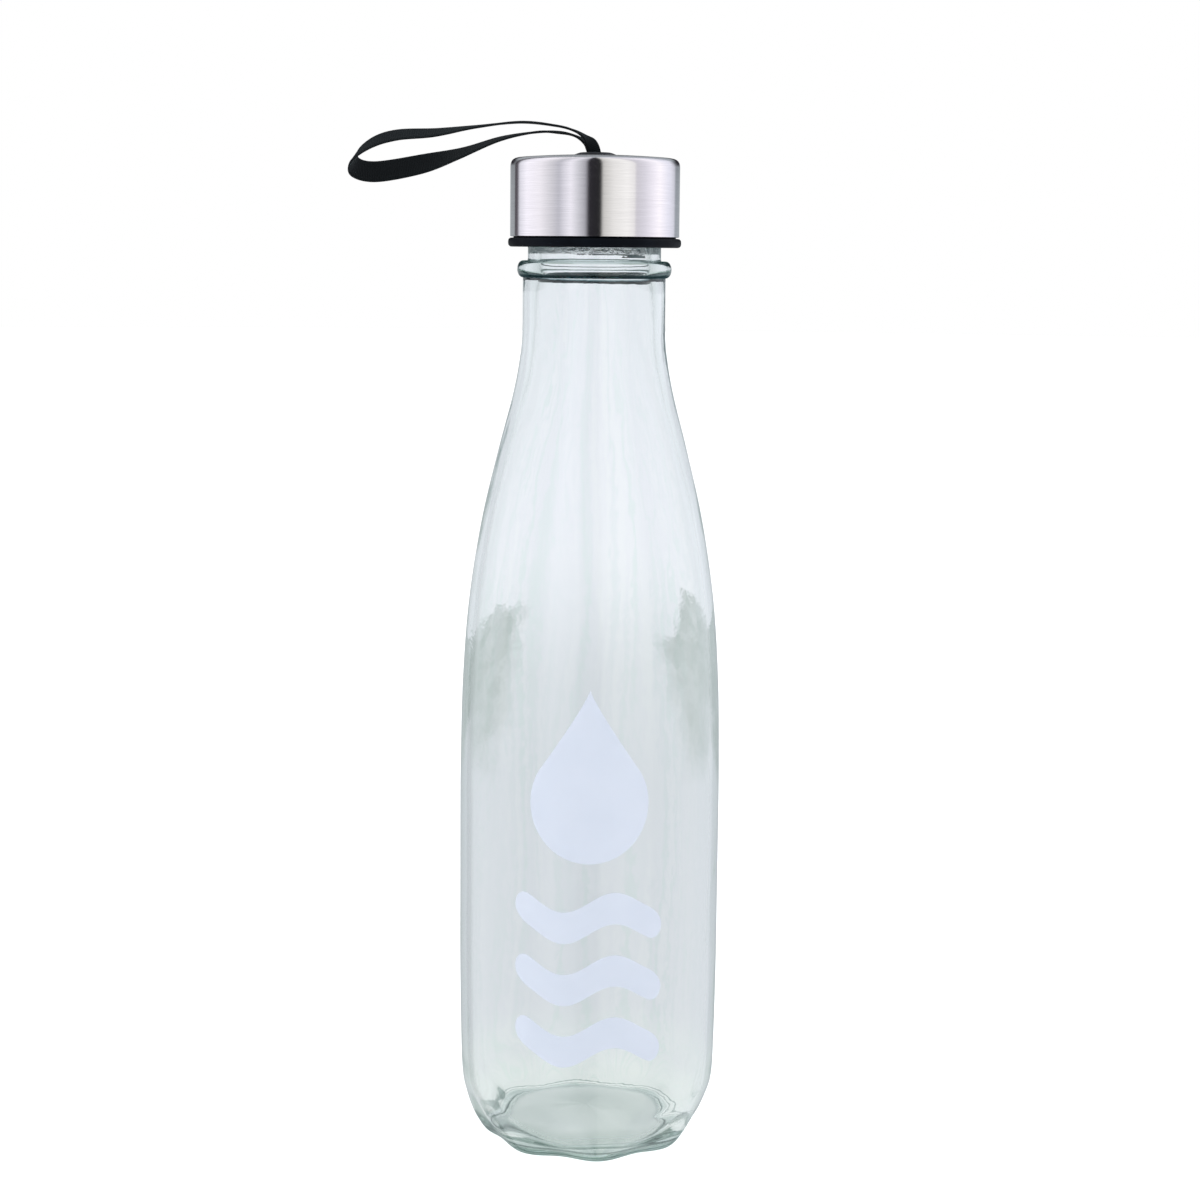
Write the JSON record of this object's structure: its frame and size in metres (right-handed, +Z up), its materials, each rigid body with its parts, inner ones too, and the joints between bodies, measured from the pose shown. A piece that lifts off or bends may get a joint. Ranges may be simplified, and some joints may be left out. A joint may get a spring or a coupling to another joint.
{
  "type": "glass water bottle",
  "caption": "Slim clear glass water bottle with a scalloped foot, a threaded steel-faced screw cap with liner and seal, and a black ribbon carrying loop.",
  "frame": {"origin": "on the table plane, at the middle of the footprint of bottle and strap loop together; the bottle's own axis stands 13.65 mm to +X of it", "axes": "+Z up along the bottle, -Y the front seen in the picture, -X the side the strap loop lies to"},
  "size_m": [0.0922, 0.065, 0.2534],
  "materials": {
    "glass": "clear, polished, faint green in thick places",
    "brushed_steel": "finely brushed around the cap",
    "black_plastic": "satin",
    "eyelet_plastic": "satin",
    "silicone": "matt, translucent white",
    "crimp_metal": "plain, slightly dull",
    "ribbon": "woven, matt"
  },
  "bodies": {
    "bottle": {"glass_bottle": "glass"},
    "seal": {"seal_ring": "silicone"},
    "cap": {"cap_shell": "brushed_steel", "cap_liner": "black_plastic", "strap_eyelet": "eyelet_plastic"},
    "strap_anchor": {"strap_ferrule": "crimp_metal", "strap_root": "ribbon"},
    "strap": {"strap_loop": "ribbon"}
  },
  "joints": [
    {"name": "cap_rise", "type": "slide", "parent": "bottle", "child": "seal", "axis": [0, 0, 1], "range_m": [0, 0.0231]},
    {"name": "cap_turn", "type": "hinge", "parent": "seal", "child": "cap", "pos_m": [0.01365, 0, 0.238], "axis": [0, 0, 1], "range_deg": [0, 1800]},
    {"name": "strap_swivel", "type": "hinge", "parent": "cap", "child": "strap_anchor", "pos_m": [0.01365, 0, 0.2455], "axis": [0, 0, 1], "range_deg": [-180, 180]},
    {"name": "strap_swing", "type": "hinge", "parent": "strap_anchor", "child": "strap", "pos_m": [0.01365, 0, 0.24765], "axis": [0, 1, 0], "range_deg": [-10, 100]}
  ],
  "couplings": [
    {"joint": "cap_rise", "follows": "cap_turn", "m_per_rad": 0.00073211}
  ]
}
